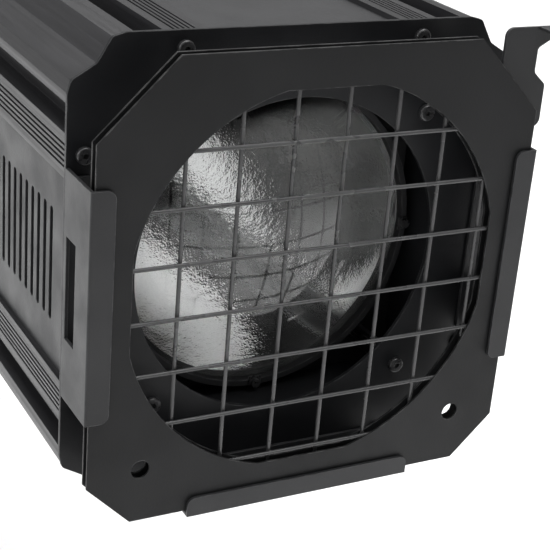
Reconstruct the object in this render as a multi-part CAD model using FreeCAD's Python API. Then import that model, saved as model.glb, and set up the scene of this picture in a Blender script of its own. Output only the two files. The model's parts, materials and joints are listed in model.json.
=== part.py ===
import FreeCAD, Part
import math
import os

# Follow spot: a square lantern housing on a tilting yoke over a stand spigot.
# Millimetres.  +Z is up, the beam leaves along -Y, +X is the operator's right.
# The row's origin is the middle of the stand spigot.  Housing pieces are drawn
# about the optical axis and lifted to AXIS_HEIGHT when they are written.

V = FreeCAD.Vector

# ---- driving dimensions -----------------------------------------------------
# overall
HOUSING_LENGTH = 790.0        # corner rails, between the two end plates
PIVOT_SET_BACK = 490.0        # front of the rails to the tilt axis
FRAME_HALF = 107.5            # colour frame, optical axis to its edge
# housing; the rails' sizes are taken inward from their outer faces
END_PLATE_T = 2.0
END_PLATE_OVERHANG = 0.5      # end plate's edge beyond the rails' faces
RAIL_WIDTH = 61.5             # corner to the flange's edge
RAIL_FLANGE_T = 2.5
RAIL_GROOVE_FAR = 41.8        # corner to the groove's far side
RAIL_GROOVE_MIDDLE = 34.9
RAIL_GROOVE_NEAR = 28.8
RAIL_GROOVE_DEPTH = 9.5
RAIL_STEP_RISE = 2.0
RAIL_LOBE = 24.5              # corner to the end of the lobe's flat
RAIL_NOTCH_DEPTH = 12.0       # corner notch's floor, along both X and Z
RAIL_WALL = 3.0
INTAKE_START = 196.0          # air intake through a bottom rail, from the front of the rails
INTAKE_END = 262.0
INTAKE_FLOOR_START = 182.0    # its part through the rail's underside starts further forward
INTAKE_RELIEF_START = 208.0   # where the intake also opens the rail's outer corner
INTAKE_RELIEF_END = 236.0
INTAKE_CORNER = 10.0          # how far it cuts back the rail's inside corner
RIB_COUNT = 5
RIB_PITCH = 2.4
RIB_CUT = 1.1
RIB_DEPTH = 0.9
PANEL_T = 1.5
PANEL_TUCK = 8.0              # how far a panel reaches under a rail's flange
PLATE_SCREW_SET_IN = 7.5      # end plate screws, from the rails' faces
PLATE_SCREW_FROM_CORNER = 51.0
SCREW_BOSS_R = 4.5
SCREW_R = 2.0
SCREW_HEAD_R = 3.9
SCREW_HEAD_T = 2.4
SCREW_LENGTH = 12.0
HEX_R = 1.45                  # hexagon socket in a screw head
# vents
VENT_PITCH = 8.65
VENT_WIDTH = 4.0
VENT_HEIGHT = 54.5
VENT_COUNT = 14
VENT_START = 23.0             # first slot's centre, from the front of the rails
REAR_VENT_COUNT = 10
REAR_VENT_SET_BACK = 160.0    # first rear slot's centre, from the rear of the rails
# front opening
APERTURE_MARGIN = 1.5         # front plate's aperture beyond the lens's edge
ROD_SET_OUT = 15.9            # aperture's edge to a guide rod's centre
ROD_R = 5.0
# colour frame and its holder
FRAME_SHEET_T = 1.0
FRAME_TOP_CHAMFER = 35.0
FRAME_BOTTOM_CHAMFER = 21.0
FRAME_RIM = 14.8              # round opening to the frame's edge
FRAME_RIM_FLAT = 17.8         # opening's flats to the frame's edge
FRAME_HOLE_R = 4.4
FRAME_HOLE_FROM_SIDE = 25.2
FRAME_HOLE_FROM_FOOT = 26.5
WIRE_R = 0.95
WIRE_PITCH = 25.4
WIRE_SHIFT_X = 9.4            # mesh's off-centre shift
WIRE_SHIFT_Z = -10.2
WIRE_END_GAP = 5.0            # a wire nearer to the opening's edge than this is left out
WIRE_TUCK = 6.0               # how far a wire reaches between the sheets
HOLDER_DEPTH = 30.5           # end plate's face to the lips' front
HOLDER_T = 1.5
HOLDER_PLAY = 0.5             # lip to colour frame
HOLDER_SIDE_PLAY = 1.0
HOLDER_FROM_CORNER = 54.0     # frame's corner to the end of a side holder
HOLDER_LIP = 11.0
HOLDER_FOOT = 9.0
HOLDER_CORNER_R = 4.0
BOTTOM_HOLDER_FROM_CORNER = 48.7
BOTTOM_HOLDER_LIP = 9.5
SIDE_SLOT_WIDTH = 11.5
SIDE_SLOT_HALF = 24.0
SIDE_SLOT_GAP = 1.2           # slot's near edge to the end plate
FRAME_REST_GAP = 0.3
# colour frame latch
LATCH_T = 1.5
LATCH_PIVOT_FROM_SIDE = 9.5
LATCH_PIVOT_FROM_TOP = 39.0
LATCH_HUB_R = 7.0
LATCH_PIN_R = 3.0
LATCH_GAP = 0.3
LATCH_BACK_GAP = 18.5         # end plate's face to the latch
# lenses and their carriages
CELL_WALL = 3.0
FRONT_LENS_R = 75.5
FRONT_LENS_EDGE = 8.0
FRONT_LENS_CURVE_R = 150.0
FRONT_CELL_SET_BACK = 24.4    # end plate's face to the cell's front
FRONT_CELL_LENGTH = 15.4
SHIELD_PLAY = 3.3             # lens's cell to the light shields
SHIELD_T = 1.5
SHIELD_SHORT = 3.0            # shields end this far in front of the carriage
SHIELD_HALF_LENGTH = 62.0
FRONT_CELL_LIP = 3.0
CELL_PLAY = 0.2
REAR_LENS_R = 58.0
REAR_LENS_EDGE = 6.0
REAR_LENS_CURVE_R = 90.0
REAR_CELL_LENGTH = 12.0
ZOOM_TO_GATE = 270.0          # zoom carriage's plate to the gate plate
CARRIAGE_PLAY = 4.0           # carriage's edge to the rails' insides
CARRIAGE_CHAMFER = 14.0
CARRIAGE_T = 3.0
CARRIAGE_BOSS_R = 9.0
CARRIAGE_BOSS_LENGTH = 18.0
RUNNING = 0.05                # radial clearance of a shaft in its hole
FOCUS_TRAVEL = 60.0
ZOOM_FORWARD = 35.0
ZOOM_BACK = 45.0
STEM_Z = -38.0
STEM_R = 3.0
SLIDE_KNOB_R = 12.0
SLIDE_KNOB_LENGTH = 17.0
SLIDE_KNOB_GAP = 1.5
STEM_SLOT_HALF = 4.5
# gate, iris and blackout blade
GATE_TO_REFLECTOR = 83.0      # gate plate to the reflector's plate
GATE_T = 2.0
GATE_R = 28.0
IRIS_RIM_R = 49.0
IRIS_RIM_WALL = 2.0
IRIS_DEPTH = 10.0
IRIS_LEAVES = 6
IRIS_LEAF_T = 0.5
IRIS_LEAF_STEP = 0.9
IRIS_LEVER_TURN = 20.0        # lever's angle from upright, wide open
IRIS_LEVER_REACH = 18.5       # beyond the rails' faces
IRIS_LEVER_WIDTH = 8.0
BLADE_HALF = 31.0
BLADE_T = 1.5
BLADE_GAP = 6.0               # gate plate to blade
BLADE_TRAVEL = 62.0
BLADE_STEM_R = 3.0
BLADE_KNOB_R = 9.0
# lamp
LAMP_BAY = 197.0              # reflector's plate to the rear of the rails
REFLECTOR_R = 72.0
REFLECTOR_DEPTH = 90.0
REFLECTOR_T = 2.0
REFLECTOR_RIM = 8.0
REFLECTOR_NECK_R = 17.0
LAMP_R = 9.0
LAMP_LENGTH = 48.0
LAMP_BASE_R = 12.0
LAMP_BASE_LENGTH = 24.0
SOCKET_HALF = 19.0
SOCKET_DEPTH = 22.0
BRACKET_HALF = 28.0
BRACKET_T = 2.5
# lamp door
DOOR_OVERHANG = 6.0           # door's front edge ahead of the reflector's plate
DOOR_SIDE_GAP = 0.5
DOOR_T = 1.5
HINGE_R = 3.0
HINGE_PIN_R = 1.5
HINGE_LIFT = 0.4              # knuckles clear of the rail
KNUCKLE_LENGTH = 24.0
KNUCKLE_GAP = 0.4
CATCH_HEAD_R = 7.0
CATCH_SHANK_R = 3.0
CATCH_REACH = 15.0
# rear plate pieces
FAN_HALF = 40.0
FAN_DEPTH = 25.0
FAN_Z = 40.0
FAN_DUCT_R = 38.0
FAN_HUB_R = 15.0
FAN_BLADES = 7
FAN_BLADE_GAP = 1.2
GUARD_WIRE_R = 1.1
INLET_X = -50.0
PANEL_PARTS_Z = -68.0
INLET_HALF_WIDTH = 25.0
INLET_HALF_HEIGHT = 14.0
INLET_CAVITY_X = 12.2
INLET_CAVITY_Z = 8.4
INLET_CAVITY_DEPTH = 16.0
SWITCH_X = 50.0
SWITCH_HALF_X = 9.5
SWITCH_HALF_Z = 13.5
SWITCH_BEZEL = 3.0
ROCKER_TILT = 8.0
HANDLE_Z = -22.0
HANDLE_REACH = 70.0           # rear plate's face to the grip's centre line
HANDLE_R = 7.0
HANDLE_BEND_R = 28.0
HANDLE_FOOT_SET_BACK = 65.0   # foot's front edge, from the rear of the rails
HANDLE_FOOT_LENGTH = 40.0
GRIP_T = 3.0
GRIP_HALF = 62.0
SAFETY_HOLE_R = 6.0
SAFETY_T = 3.0
SAFETY_FROM_CORNER = 25.5
SAFETY_Z = 68.0
SAFETY_HALF_HEIGHT = 14.0
SAFETY_REACH = 30.0
# yoke and spigot
YOKE_WIDTH = 50.0
YOKE_T = 6.0
YOKE_DROP = 200.0             # tilt axis to the yoke base's top
YOKE_BEND_R = 18.0
PIVOT_PLATE_HALF_Y = 34.0
PIVOT_PLATE_FROM_GROOVE = 1.7
PIVOT_PLATE_T = 4.0
PIVOT_BOSS_R = 17.0
PIVOT_BOSS_T = 3.5
FRICTION_T = 1.0
FRICTION_R = 20.0
STUD_R = 5.0
STUD_LENGTH = 33.0
TILT_KNOB_R = 27.0
TILT_KNOB_LOBES = 5
SPIGOT_R = 14.0
SPIGOT_SEAT = 100.0           # full-diameter stretch that a stand grips
SPIGOT_GROOVE_R = 11.0
SPIGOT_GROOVE = 12.0
SPIGOT_TIP = 14.0
SPIGOT_FLANGE_R = 26.0
SPIGOT_FLANGE_T = 8.0
SPIGOT_NECK_R = 12.0
PAN_WASHER_T = 1.5
PAN_BOLT_R = 6.0
PAN_HEAD_R = 10.0
PAN_HEAD_T = 7.5

# ---- places worked out from them --------------------------------------------
RAIL_FRONT = -PIVOT_SET_BACK
RAIL_REAR = HOUSING_LENGTH - PIVOT_SET_BACK
FRONT_FACE = RAIL_FRONT - END_PLATE_T
REAR_FACE = RAIL_REAR + END_PLATE_T
HOLDER_OUTER = FRAME_HALF + HOLDER_SIDE_PLAY + HOLDER_T
END_PLATE_HALF = HOLDER_OUTER
HOUSING_HALF = END_PLATE_HALF - END_PLATE_OVERHANG
RAIL_FLANGE_EDGE = HOUSING_HALF - RAIL_WIDTH
RAIL_GROOVE_START = HOUSING_HALF - RAIL_GROOVE_FAR
RAIL_GROOVE_STEP = HOUSING_HALF - RAIL_GROOVE_MIDDLE
RAIL_GROOVE_END = HOUSING_HALF - RAIL_GROOVE_NEAR
RAIL_LOBE_EDGE = HOUSING_HALF - RAIL_LOBE
RAIL_NOTCH = HOUSING_HALF - RAIL_NOTCH_DEPTH
PLATE_SCREW_EDGE = HOUSING_HALF - PLATE_SCREW_SET_IN
PLATE_SCREW_OFFSET = HOUSING_HALF - PLATE_SCREW_FROM_CORNER
PANEL_OUTER = HOUSING_HALF - RAIL_FLANGE_T
PANEL_INNER = PANEL_OUTER - PANEL_T
PANEL_HALF = RAIL_FLANGE_EDGE + PANEL_TUCK
RAIL_INNER = HOUSING_HALF - RAIL_GROOVE_DEPTH - RAIL_WALL
SCREW_TOP = RAIL_GROOVE_START - RAIL_WALL
HOLDER_HALF_LENGTH = FRAME_HALF - HOLDER_FROM_CORNER
BOTTOM_HOLDER_HALF = FRAME_HALF - BOTTOM_HOLDER_FROM_CORNER
FRAME_OPENING_R = FRAME_HALF - FRAME_RIM
FRAME_OPENING_FLAT = FRAME_HALF - FRAME_RIM_FLAT
FRAME_HOLE_X = FRAME_HALF - FRAME_HOLE_FROM_SIDE
FRAME_HOLE_Z = FRAME_HOLE_FROM_FOOT - FRAME_HALF
LATCH_PIVOT_X = FRAME_HALF - LATCH_PIVOT_FROM_SIDE
LATCH_PIVOT_Z = FRAME_HALF - LATCH_PIVOT_FROM_TOP
LIP_FRONT = FRONT_FACE - HOLDER_DEPTH
FRAME_FRONT = LIP_FRONT + HOLDER_T + HOLDER_PLAY
WIRE_FRONT = FRAME_FRONT + FRAME_SHEET_T
WIRE_LAYER = 2 * WIRE_R
FRAME_BACK = WIRE_FRONT + 2 * WIRE_LAYER
CELL_FRONT = FRONT_FACE + FRONT_CELL_SET_BACK
CELL_REAR = CELL_FRONT + FRONT_CELL_LENGTH
FRONT_CELL_R = FRONT_LENS_R + CELL_PLAY + CELL_WALL
SHIELD_HALF = FRONT_CELL_R + SHIELD_PLAY
APERTURE_R = FRONT_LENS_R + APERTURE_MARGIN
ROD_OFFSET = (APERTURE_R + ROD_SET_OUT) * math.sqrt(0.5)
REAR_CELL_R = REAR_LENS_R + CELL_PLAY + CELL_WALL
CARRIAGE_HALF = RAIL_INNER - CARRIAGE_PLAY
REFLECTOR_PLATE_Y = RAIL_REAR - LAMP_BAY
GATE_Y = REFLECTOR_PLATE_Y - GATE_TO_REFLECTOR
GATE_REAR = GATE_Y + GATE_T
REAR_CARRIAGE_Y = GATE_Y - ZOOM_TO_GATE
IRIS_LEVER_R = HOUSING_HALF + IRIS_LEVER_REACH
DOOR_START = REFLECTOR_PLATE_Y - DOOR_OVERHANG
HANDLE_FOOT_Y = RAIL_REAR - HANDLE_FOOT_SET_BACK
PIVOT_PLATE_HALF_Z = RAIL_GROOVE_START - PIVOT_PLATE_FROM_GROOVE
BLADE_Y = GATE_REAR + BLADE_GAP
SLIDE_KNOB_X = HOUSING_HALF + SLIDE_KNOB_GAP
DOOR_HALF = RAIL_FLANGE_EDGE - DOOR_SIDE_GAP
DOOR_TOP = PANEL_OUTER + PANEL_T / 2
HINGE_X = -DOOR_HALF
HINGE_Z = HOUSING_HALF + HINGE_R + HINGE_LIFT
ARM_INNER = HOUSING_HALF + PIVOT_PLATE_T + PIVOT_BOSS_T + FRICTION_T
YOKE_OUTER = ARM_INNER + YOKE_T
SEAT_TOP = SPIGOT_SEAT / 2
FLANGE_TOP = SEAT_TOP + SPIGOT_FLANGE_T
YOKE_BOTTOM = FLANGE_TOP + PAN_WASHER_T
YOKE_BASE_TOP = YOKE_BOTTOM + YOKE_T
AXIS_HEIGHT = YOKE_BASE_TOP + YOKE_DROP


# ---- shape helpers ----------------------------------------------------------
def box(x0, x1, y0, y1, z0, z1):
    return Part.makeBox(x1 - x0, y1 - y0, z1 - z0, V(x0, y0, z0))


def rod_x(radius, x0, x1, y, z):
    return Part.makeCylinder(radius, x1 - x0, V(x0, y, z), V(1, 0, 0))


def rod_y(radius, x, z, y0, y1):
    return Part.makeCylinder(radius, y1 - y0, V(x, y0, z), V(0, 1, 0))


def rod_z(radius, x, y, z0, z1):
    return Part.makeCylinder(radius, z1 - z0, V(x, y, z0), V(0, 0, 1))


def tube_y(outer, inner, x, z, y0, y1):
    return rod_y(outer, x, z, y0, y1).cut(rod_y(inner, x, z, y0 - 1, y1 + 1))


def rounded_wire(corners):
    """A closed wire through (point, radius) corners, each rounded by an arc."""
    stops = []
    for i, (here, radius) in enumerate(corners):
        if radius == 0:
            stops.append((here, None, here))
            continue
        to_last = (corners[i - 1][0] - here).normalize()
        to_next = (corners[(i + 1) % len(corners)][0] - here).normalize()
        half_turn = to_last.getAngle(to_next) / 2
        reach = radius / math.tan(half_turn)
        middle = radius / math.sin(half_turn) - radius
        inward = (to_last + to_next).normalize()
        stops.append((here + to_last * reach, here + inward * middle, here + to_next * reach))
    edges = []
    for i, (start, middle, end) in enumerate(stops):
        if middle is not None:
            edges.append(Part.Arc(start, middle, end).toShape())
        following = stops[(i + 1) % len(stops)][0]
        if (following - end).Length > 1e-6:
            edges.append(Part.makeLine(end, following))
    return Part.Wire(edges)


def prism_y(corners, y0, y1):
    """A plate across Y from (x, z, radius) corners."""
    wire = rounded_wire([(V(x, y0, z), radius) for x, z, radius in corners])
    return Part.Face(wire).extrude(V(0, y1 - y0, 0))


def prism_x(corners, x0, x1):
    """A plate across X from (y, z, radius) corners."""
    wire = rounded_wire([(V(x0, y, z), radius) for y, z, radius in corners])
    return Part.Face(wire).extrude(V(x1 - x0, 0, 0))


def prism_z(corners, z0, z1):
    """A plate across Z from (x, y, radius) corners."""
    wire = rounded_wire([(V(x, y, z0), radius) for x, y, radius in corners])
    return Part.Face(wire).extrude(V(0, 0, z1 - z0))


def rectangle(x0, x1, z0, z1, radius=0.0):
    return [(x0, z0, radius), (x1, z0, radius), (x1, z1, radius), (x0, z1, radius)]


def mirror_x(shape):
    return shape.mirror(V(0, 0, 0), V(1, 0, 0))


def quarter_turned(shape, turns):
    """The shape turned about the optical axis by quarter turns, from +X towards +Z."""
    turned = shape.copy()
    turned.rotate(V(0, 0, 0), V(0, -1, 0), 90 * turns)
    return turned


def revolved(profile):
    """A solid of revolution about the optical axis from (radius, y) corners."""
    points = [V(radius, y, 0) for radius, y in profile]
    wire = Part.makePolygon(points + [points[0]])
    return Part.Face(wire).revolve(V(0, 0, 0), V(0, 1, 0), 360)


def group(shapes):
    return Part.makeCompound(shapes)


def hex_prism_y(radius, x, z, y0, y1):
    corners = []
    for step in range(6):
        angle = math.radians(60 * step)
        corners.append((x + radius * math.cos(angle), z + radius * math.sin(angle), 0))
    return prism_y(corners, y0, y1)


def four_corners(x, z):
    return [(x, z), (-x, z), (-x, -z), (x, -z)]


# ---- housing ----------------------------------------------------------------
def end_plate_outline():
    """Square plate with a notched corner over each rail's lobe."""
    edge = END_PLATE_HALF
    shoulder = edge - 1.5
    rise = RAIL_LOBE_EDGE + 6.0
    corner = [(edge, RAIL_LOBE_EDGE, 3), (shoulder, rise, 3), (RAIL_NOTCH, RAIL_NOTCH, 4),
              (rise, shoulder, 3), (RAIL_LOBE_EDGE, edge, 3)]
    outline = []
    for turns in range(4):
        for x, z, radius in corner:
            for _ in range(turns):
                x, z = -z, x
            outline.append((x, z, radius))
    return outline


def plate_screw_places():
    places = four_corners(PLATE_SCREW_EDGE, PLATE_SCREW_OFFSET)
    return places + four_corners(PLATE_SCREW_OFFSET, PLATE_SCREW_EDGE)


def light_shield():
    """A flange behind the front plate, beside the lens's cell, that stops light leaking round it."""
    return box(SHIELD_HALF, SHIELD_HALF + SHIELD_T, FRONT_FACE, CELL_REAR - SHIELD_SHORT,
               -SHIELD_HALF_LENGTH, SHIELD_HALF_LENGTH)


def front_plate():
    plate = prism_y(end_plate_outline(), FRONT_FACE, FRONT_FACE + END_PLATE_T)
    plate = plate.fuse([quarter_turned(light_shield(), turns) for turns in range(4)])
    cuts = [rod_y(APERTURE_R, 0, 0, FRONT_FACE - 1, RAIL_FRONT + 1)]
    for x, z in plate_screw_places() + four_corners(ROD_OFFSET, ROD_OFFSET):
        cuts.append(rod_y(SCREW_R + RUNNING, x, z, FRONT_FACE - 1, RAIL_FRONT + 1))
    return plate.cut(cuts)


def rear_plate():
    plate = prism_y(end_plate_outline(), RAIL_REAR, REAR_FACE)
    low = RAIL_REAR - 1
    high = REAR_FACE + 1
    cuts = [rod_y(FAN_DUCT_R, 0, FAN_Z, low, high)]
    for x, z in plate_screw_places():
        cuts.append(rod_y(SCREW_R + RUNNING, x, z, low, high))
    inlet_x = INLET_CAVITY_X + 2.0
    inlet_z = INLET_CAVITY_Z + 2.0
    cuts.append(box(INLET_X - inlet_x, INLET_X + inlet_x, low, high,
                    PANEL_PARTS_Z - inlet_z, PANEL_PARTS_Z + inlet_z))
    cuts.append(box(SWITCH_X - SWITCH_HALF_X - 1, SWITCH_X + SWITCH_HALF_X + 1, low, high,
                    PANEL_PARTS_Z - SWITCH_HALF_Z - 1, PANEL_PARTS_Z + SWITCH_HALF_Z + 1))
    return plate.cut(cuts)


def rail_half_outline():
    """Outline from the flange's edge to the notch, in the +X +Z quarter."""
    out = HOUSING_HALF
    floor = out - RAIL_GROOVE_DEPTH
    points = [(PANEL_OUTER, RAIL_FLANGE_EDGE), (out, RAIL_FLANGE_EDGE)]
    rib_start = (RAIL_FLANGE_EDGE + RAIL_GROOVE_START) / 2 - RIB_PITCH * (RIB_COUNT - 1) / 2
    for rib in range(RIB_COUNT):
        low = rib_start + RIB_PITCH * rib - RIB_CUT / 2
        points += [(out, low), (out - RIB_DEPTH, low), (out - RIB_DEPTH, low + RIB_CUT),
                   (out, low + RIB_CUT)]
    points += [(out, RAIL_GROOVE_START), (floor, RAIL_GROOVE_START), (floor, RAIL_GROOVE_STEP),
               (floor + RAIL_STEP_RISE, RAIL_GROOVE_STEP), (floor + RAIL_STEP_RISE, RAIL_GROOVE_END),
               (out, RAIL_GROOVE_END), (out, RAIL_LOBE_EDGE), (out - 1.5, RAIL_LOBE_EDGE + 5.5)]
    return points


def rail_inner_outline():
    """Outline inside the rail, from the notch's side back to the flange."""
    return [(RAIL_INNER, RAIL_INNER - 8), (RAIL_INNER, SCREW_TOP), (PANEL_INNER, SCREW_TOP),
            (PANEL_INNER, PANEL_HALF), (PANEL_OUTER, PANEL_HALF)]


def corner_rail():
    """Extruded corner profile in the +X +Z quarter."""
    side = rail_half_outline()
    inner = rail_inner_outline()
    outline = side + [(RAIL_NOTCH, RAIL_NOTCH)] + [(z, x) for x, z in reversed(side)]
    outline += [(z, x) for x, z in reversed(inner)] + inner
    rail = prism_y([(x, z, 0) for x, z in outline], RAIL_FRONT, RAIL_REAR)
    inner_edge = PLATE_SCREW_EDGE - SCREW_BOSS_R
    boss = box(inner_edge, PANEL_INNER, RAIL_FRONT, RAIL_REAR, PANEL_HALF, SCREW_TOP)
    boss = boss.cut(rod_y(SCREW_R + RUNNING, PLATE_SCREW_EDGE, PLATE_SCREW_OFFSET, RAIL_FRONT, RAIL_REAR))
    rail = rail.fuse([boss, flip_diagonal(boss)])
    bores = []
    for x, z in ((PLATE_SCREW_EDGE, PLATE_SCREW_OFFSET), (PLATE_SCREW_OFFSET, PLATE_SCREW_EDGE)):
        bores.append(rod_y(SCREW_R + RUNNING, x, z, RAIL_FRONT - 1, RAIL_REAR + 1))
    return rail.cut(bores).removeSplitter()


def intake():
    """Cutter for the air intake through both faces of a rail, open at its corner over a short length."""
    far = HOUSING_HALF + 1
    near = RAIL_INNER - INTAKE_CORNER
    y_floor, y0, y1, y2, y3 = (RAIL_FRONT + y for y in (
        INTAKE_FLOOR_START, INTAKE_START, INTAKE_RELIEF_START, INTAKE_RELIEF_END, INTAKE_END))
    low = RAIL_GROOVE_START + 1
    underside = box(near, far, y_floor, y3, low, RAIL_INNER)
    side = box(low, RAIL_INNER, y0, y3, near, far)
    corner = box(RAIL_INNER - 1, far, y1, y2, RAIL_INNER - 1, far)
    return underside.fuse([side, corner])


def flip_diagonal(shape):
    """Swaps X and Z."""
    return shape.mirror(V(0, 0, 0), V(1, 0, -1))


def vent_slots(first_y, count, face):
    """Upright slots through a side panel at x = face, one every VENT_PITCH."""
    half = VENT_WIDTH / 2
    straight = VENT_HEIGHT / 2 - half
    slots = []
    for step in range(count):
        y = first_y + VENT_PITCH * step
        slots.append(box(face - 4, face + 4, y - half, y + half, -straight, straight))
        slots.append(rod_x(half, face - 4, face + 4, y, straight))
        slots.append(rod_x(half, face - 4, face + 4, y, -straight))
    return slots


def side_panel():
    """The right-hand panel without its knob slots."""
    panel = box(PANEL_INNER, PANEL_OUTER, RAIL_FRONT, RAIL_REAR, -PANEL_HALF, PANEL_HALF)
    cuts = vent_slots(RAIL_FRONT + VENT_START, VENT_COUNT, PANEL_OUTER)
    cuts += vent_slots(RAIL_REAR - REAR_VENT_SET_BACK, REAR_VENT_COUNT, PANEL_OUTER)
    cuts.append(rod_x(STUD_R + 2, PANEL_INNER - 1, PANEL_OUTER + 1, 0, 0))
    return panel.cut(cuts)


def side_panel_left():
    return mirror_x(side_panel())


def knob_slot(y0, y1):
    end_r = STEM_SLOT_HALF
    middle = box(PANEL_INNER - 1, PANEL_OUTER + 1, y0, y1, STEM_Z - end_r, STEM_Z + end_r)
    ends = [rod_x(end_r, PANEL_INNER - 1, PANEL_OUTER + 1, y, STEM_Z) for y in (y0, y1)]
    return middle.fuse(ends)


def side_panel_right():
    focus_y = stem_centre(CELL_REAR)
    zoom_y = stem_centre(REAR_CARRIAGE_Y)
    focus = knob_slot(focus_y, focus_y + FOCUS_TRAVEL)
    zoom = knob_slot(zoom_y - ZOOM_FORWARD, zoom_y + ZOOM_BACK)
    return side_panel().cut([focus, zoom])


def top_panel():
    panel = box(-PANEL_HALF, PANEL_HALF, RAIL_FRONT, DOOR_START - DOOR_SIDE_GAP, PANEL_INNER, PANEL_OUTER)
    sweep = PANEL_OUTER * math.tan(math.radians(IRIS_LEVER_TURN)) + IRIS_LEVER_WIDTH / 2 + 2
    lever_y = GATE_Y - IRIS_DEPTH - IRIS_RIM_WALL / 2
    lever_slot = box(-sweep, sweep, lever_y - 2.5, lever_y + 2.5, PANEL_INNER - 1, PANEL_OUTER + 1)
    stem_hole = rod_z(BLADE_STEM_R + 0.5, 0, BLADE_Y + BLADE_T / 2, PANEL_INNER - 1, PANEL_OUTER + 1)
    return panel.cut([lever_slot, stem_hole])


def bottom_panel():
    panel = box(-PANEL_HALF, PANEL_HALF, RAIL_FRONT, RAIL_REAR, -PANEL_OUTER, -PANEL_INNER)
    slots = vent_slots(RAIL_REAR - REAR_VENT_SET_BACK, REAR_VENT_COUNT, PANEL_OUTER)
    return panel.cut([quarter_turned(slot, 3) for slot in slots])


def pan_screw(x, z, face, outward):
    """Pan head screw along Y whose head stands on face; outward is -1 or 1."""
    head = rod_y(SCREW_HEAD_R, x, z, face, face + SCREW_HEAD_T)
    rim = [edge for edge in head.Edges if edge.BoundBox.YMin > face + SCREW_HEAD_T - 0.01]
    head = head.makeFillet(1.0, rim)
    head = head.cut(hex_prism_y(HEX_R, x, z, face + 1.0, face + SCREW_HEAD_T + 1))
    screw = head.fuse(rod_y(SCREW_R, x, z, face - SCREW_LENGTH, face))
    if outward < 0:
        screw.rotate(V(x, face, z), V(0, 0, 1), 180)
    return screw


def plate_screws():
    front = plate_screw_places() + four_corners(ROD_OFFSET, ROD_OFFSET)
    screws = [pan_screw(x, z, FRONT_FACE, -1) for x, z in front]
    screws += [pan_screw(x, z, REAR_FACE, 1) for x, z in plate_screw_places()]
    screws += [pan_screw(x, z, GATE_REAR, 1) for x, z in four_corners(ROD_OFFSET, ROD_OFFSET)]
    return group(screws)


def side_screw(x, y, z):
    """Button head screw along X on the right-hand side."""
    head = rod_x(5.0, x, x + 2.6, y, z)
    rim = [edge for edge in head.Edges if edge.BoundBox.XMin > x + 2.5]
    return head.makeFillet(1.2, rim)


def side_screw_places():
    rows = (-PLATE_SCREW_OFFSET, PLATE_SCREW_OFFSET)
    pivots = [(y, z) for y in (-PIVOT_PLATE_HALF_Y + 8, PIVOT_PLATE_HALF_Y - 8) for z in rows]
    feet = [(y, z) for y in (HANDLE_FOOT_Y + 9, HANDLE_FOOT_Y + HANDLE_FOOT_LENGTH - 9) for z in rows]
    return pivots + feet


def side_screws():
    right = [side_screw(HOUSING_HALF + PIVOT_PLATE_T, y, z) for y, z in side_screw_places()]
    return group(right + [mirror_x(screw) for screw in right])


# ---- colour frame holder ----------------------------------------------------
def frame_holder_right():
    """Bent sheet: lip in front of the frame, flange back to the plate, foot on it."""
    outer = HOLDER_OUTER
    inner = outer - HOLDER_T
    half = HOLDER_HALF_LENGTH
    lip_corners = [(outer, -half, 0), (outer, half, 0), (outer - HOLDER_LIP, half, HOLDER_CORNER_R),
                   (outer - HOLDER_LIP, -half, HOLDER_CORNER_R)]
    lip = prism_y(lip_corners, LIP_FRONT, LIP_FRONT + HOLDER_T)
    flange = box(inner, outer, LIP_FRONT, FRONT_FACE, -half, half)
    foot = box(inner - HOLDER_FOOT, inner, FRONT_FACE - HOLDER_T, FRONT_FACE, -half + 4, half - 4)
    slot_end = FRONT_FACE - SIDE_SLOT_GAP - HOLDER_T
    slot = box(inner - 1, outer + 1, slot_end - SIDE_SLOT_WIDTH, slot_end, -SIDE_SLOT_HALF, SIDE_SLOT_HALF)
    holder = flange.cut(slot).fuse([lip, foot]).removeSplitter()
    bend = [edge for edge in holder.Edges
            if edge.BoundBox.XMin > outer - 0.01 and edge.BoundBox.YMax < LIP_FRONT + 0.01]
    return holder.makeFillet(HOLDER_T * 0.6, bend)


def frame_holder_left():
    return mirror_x(frame_holder_right())


def frame_holder_bottom():
    outer = -HOLDER_OUTER
    inner = outer + HOLDER_T
    half = BOTTOM_HOLDER_HALF
    lip_top = outer + BOTTOM_HOLDER_LIP
    lip_corners = [(-half, outer, 0), (half, outer, 0), (half, lip_top, HOLDER_CORNER_R),
                   (-half, lip_top, HOLDER_CORNER_R)]
    lip = prism_y(lip_corners, LIP_FRONT, LIP_FRONT + HOLDER_T)
    flange = box(-half, half, LIP_FRONT, FRONT_FACE, outer, inner)
    foot_half = PLATE_SCREW_OFFSET - SCREW_HEAD_R - 1
    foot = box(-foot_half, foot_half, FRONT_FACE - HOLDER_T, FRONT_FACE, inner, inner + HOLDER_FOOT)
    return flange.fuse([lip, foot]).removeSplitter()


# ---- colour frame -----------------------------------------------------------
def frame_sheet(y0):
    half = FRAME_HALF
    top = FRAME_TOP_CHAMFER
    low = FRAME_BOTTOM_CHAMFER
    outline = [(half, half - top, 0), (half - top, half, 0), (top - half, half, 0), (-half, half - top, 0),
               (-half, low - half, 0), (low - half, -half, 0), (half - low, -half, 0), (half, low - half, 0)]
    sheet = prism_y(outline, y0, y0 + FRAME_SHEET_T)
    flat = FRAME_OPENING_FLAT
    opening = rod_y(FRAME_OPENING_R, 0, 0, y0 - 1, y0 + FRAME_SHEET_T + 1)
    opening = opening.common(box(-flat, flat, y0 - 2, y0 + FRAME_SHEET_T + 2, -flat, flat))
    holes = [rod_y(FRAME_HOLE_R, x, FRAME_HOLE_Z, y0 - 1, y0 + FRAME_SHEET_T + 1)
             for x in (-FRAME_HOLE_X, FRAME_HOLE_X)]
    return sheet.cut([opening] + holes)


def colour_frame_front():
    return frame_sheet(FRAME_FRONT)


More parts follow.
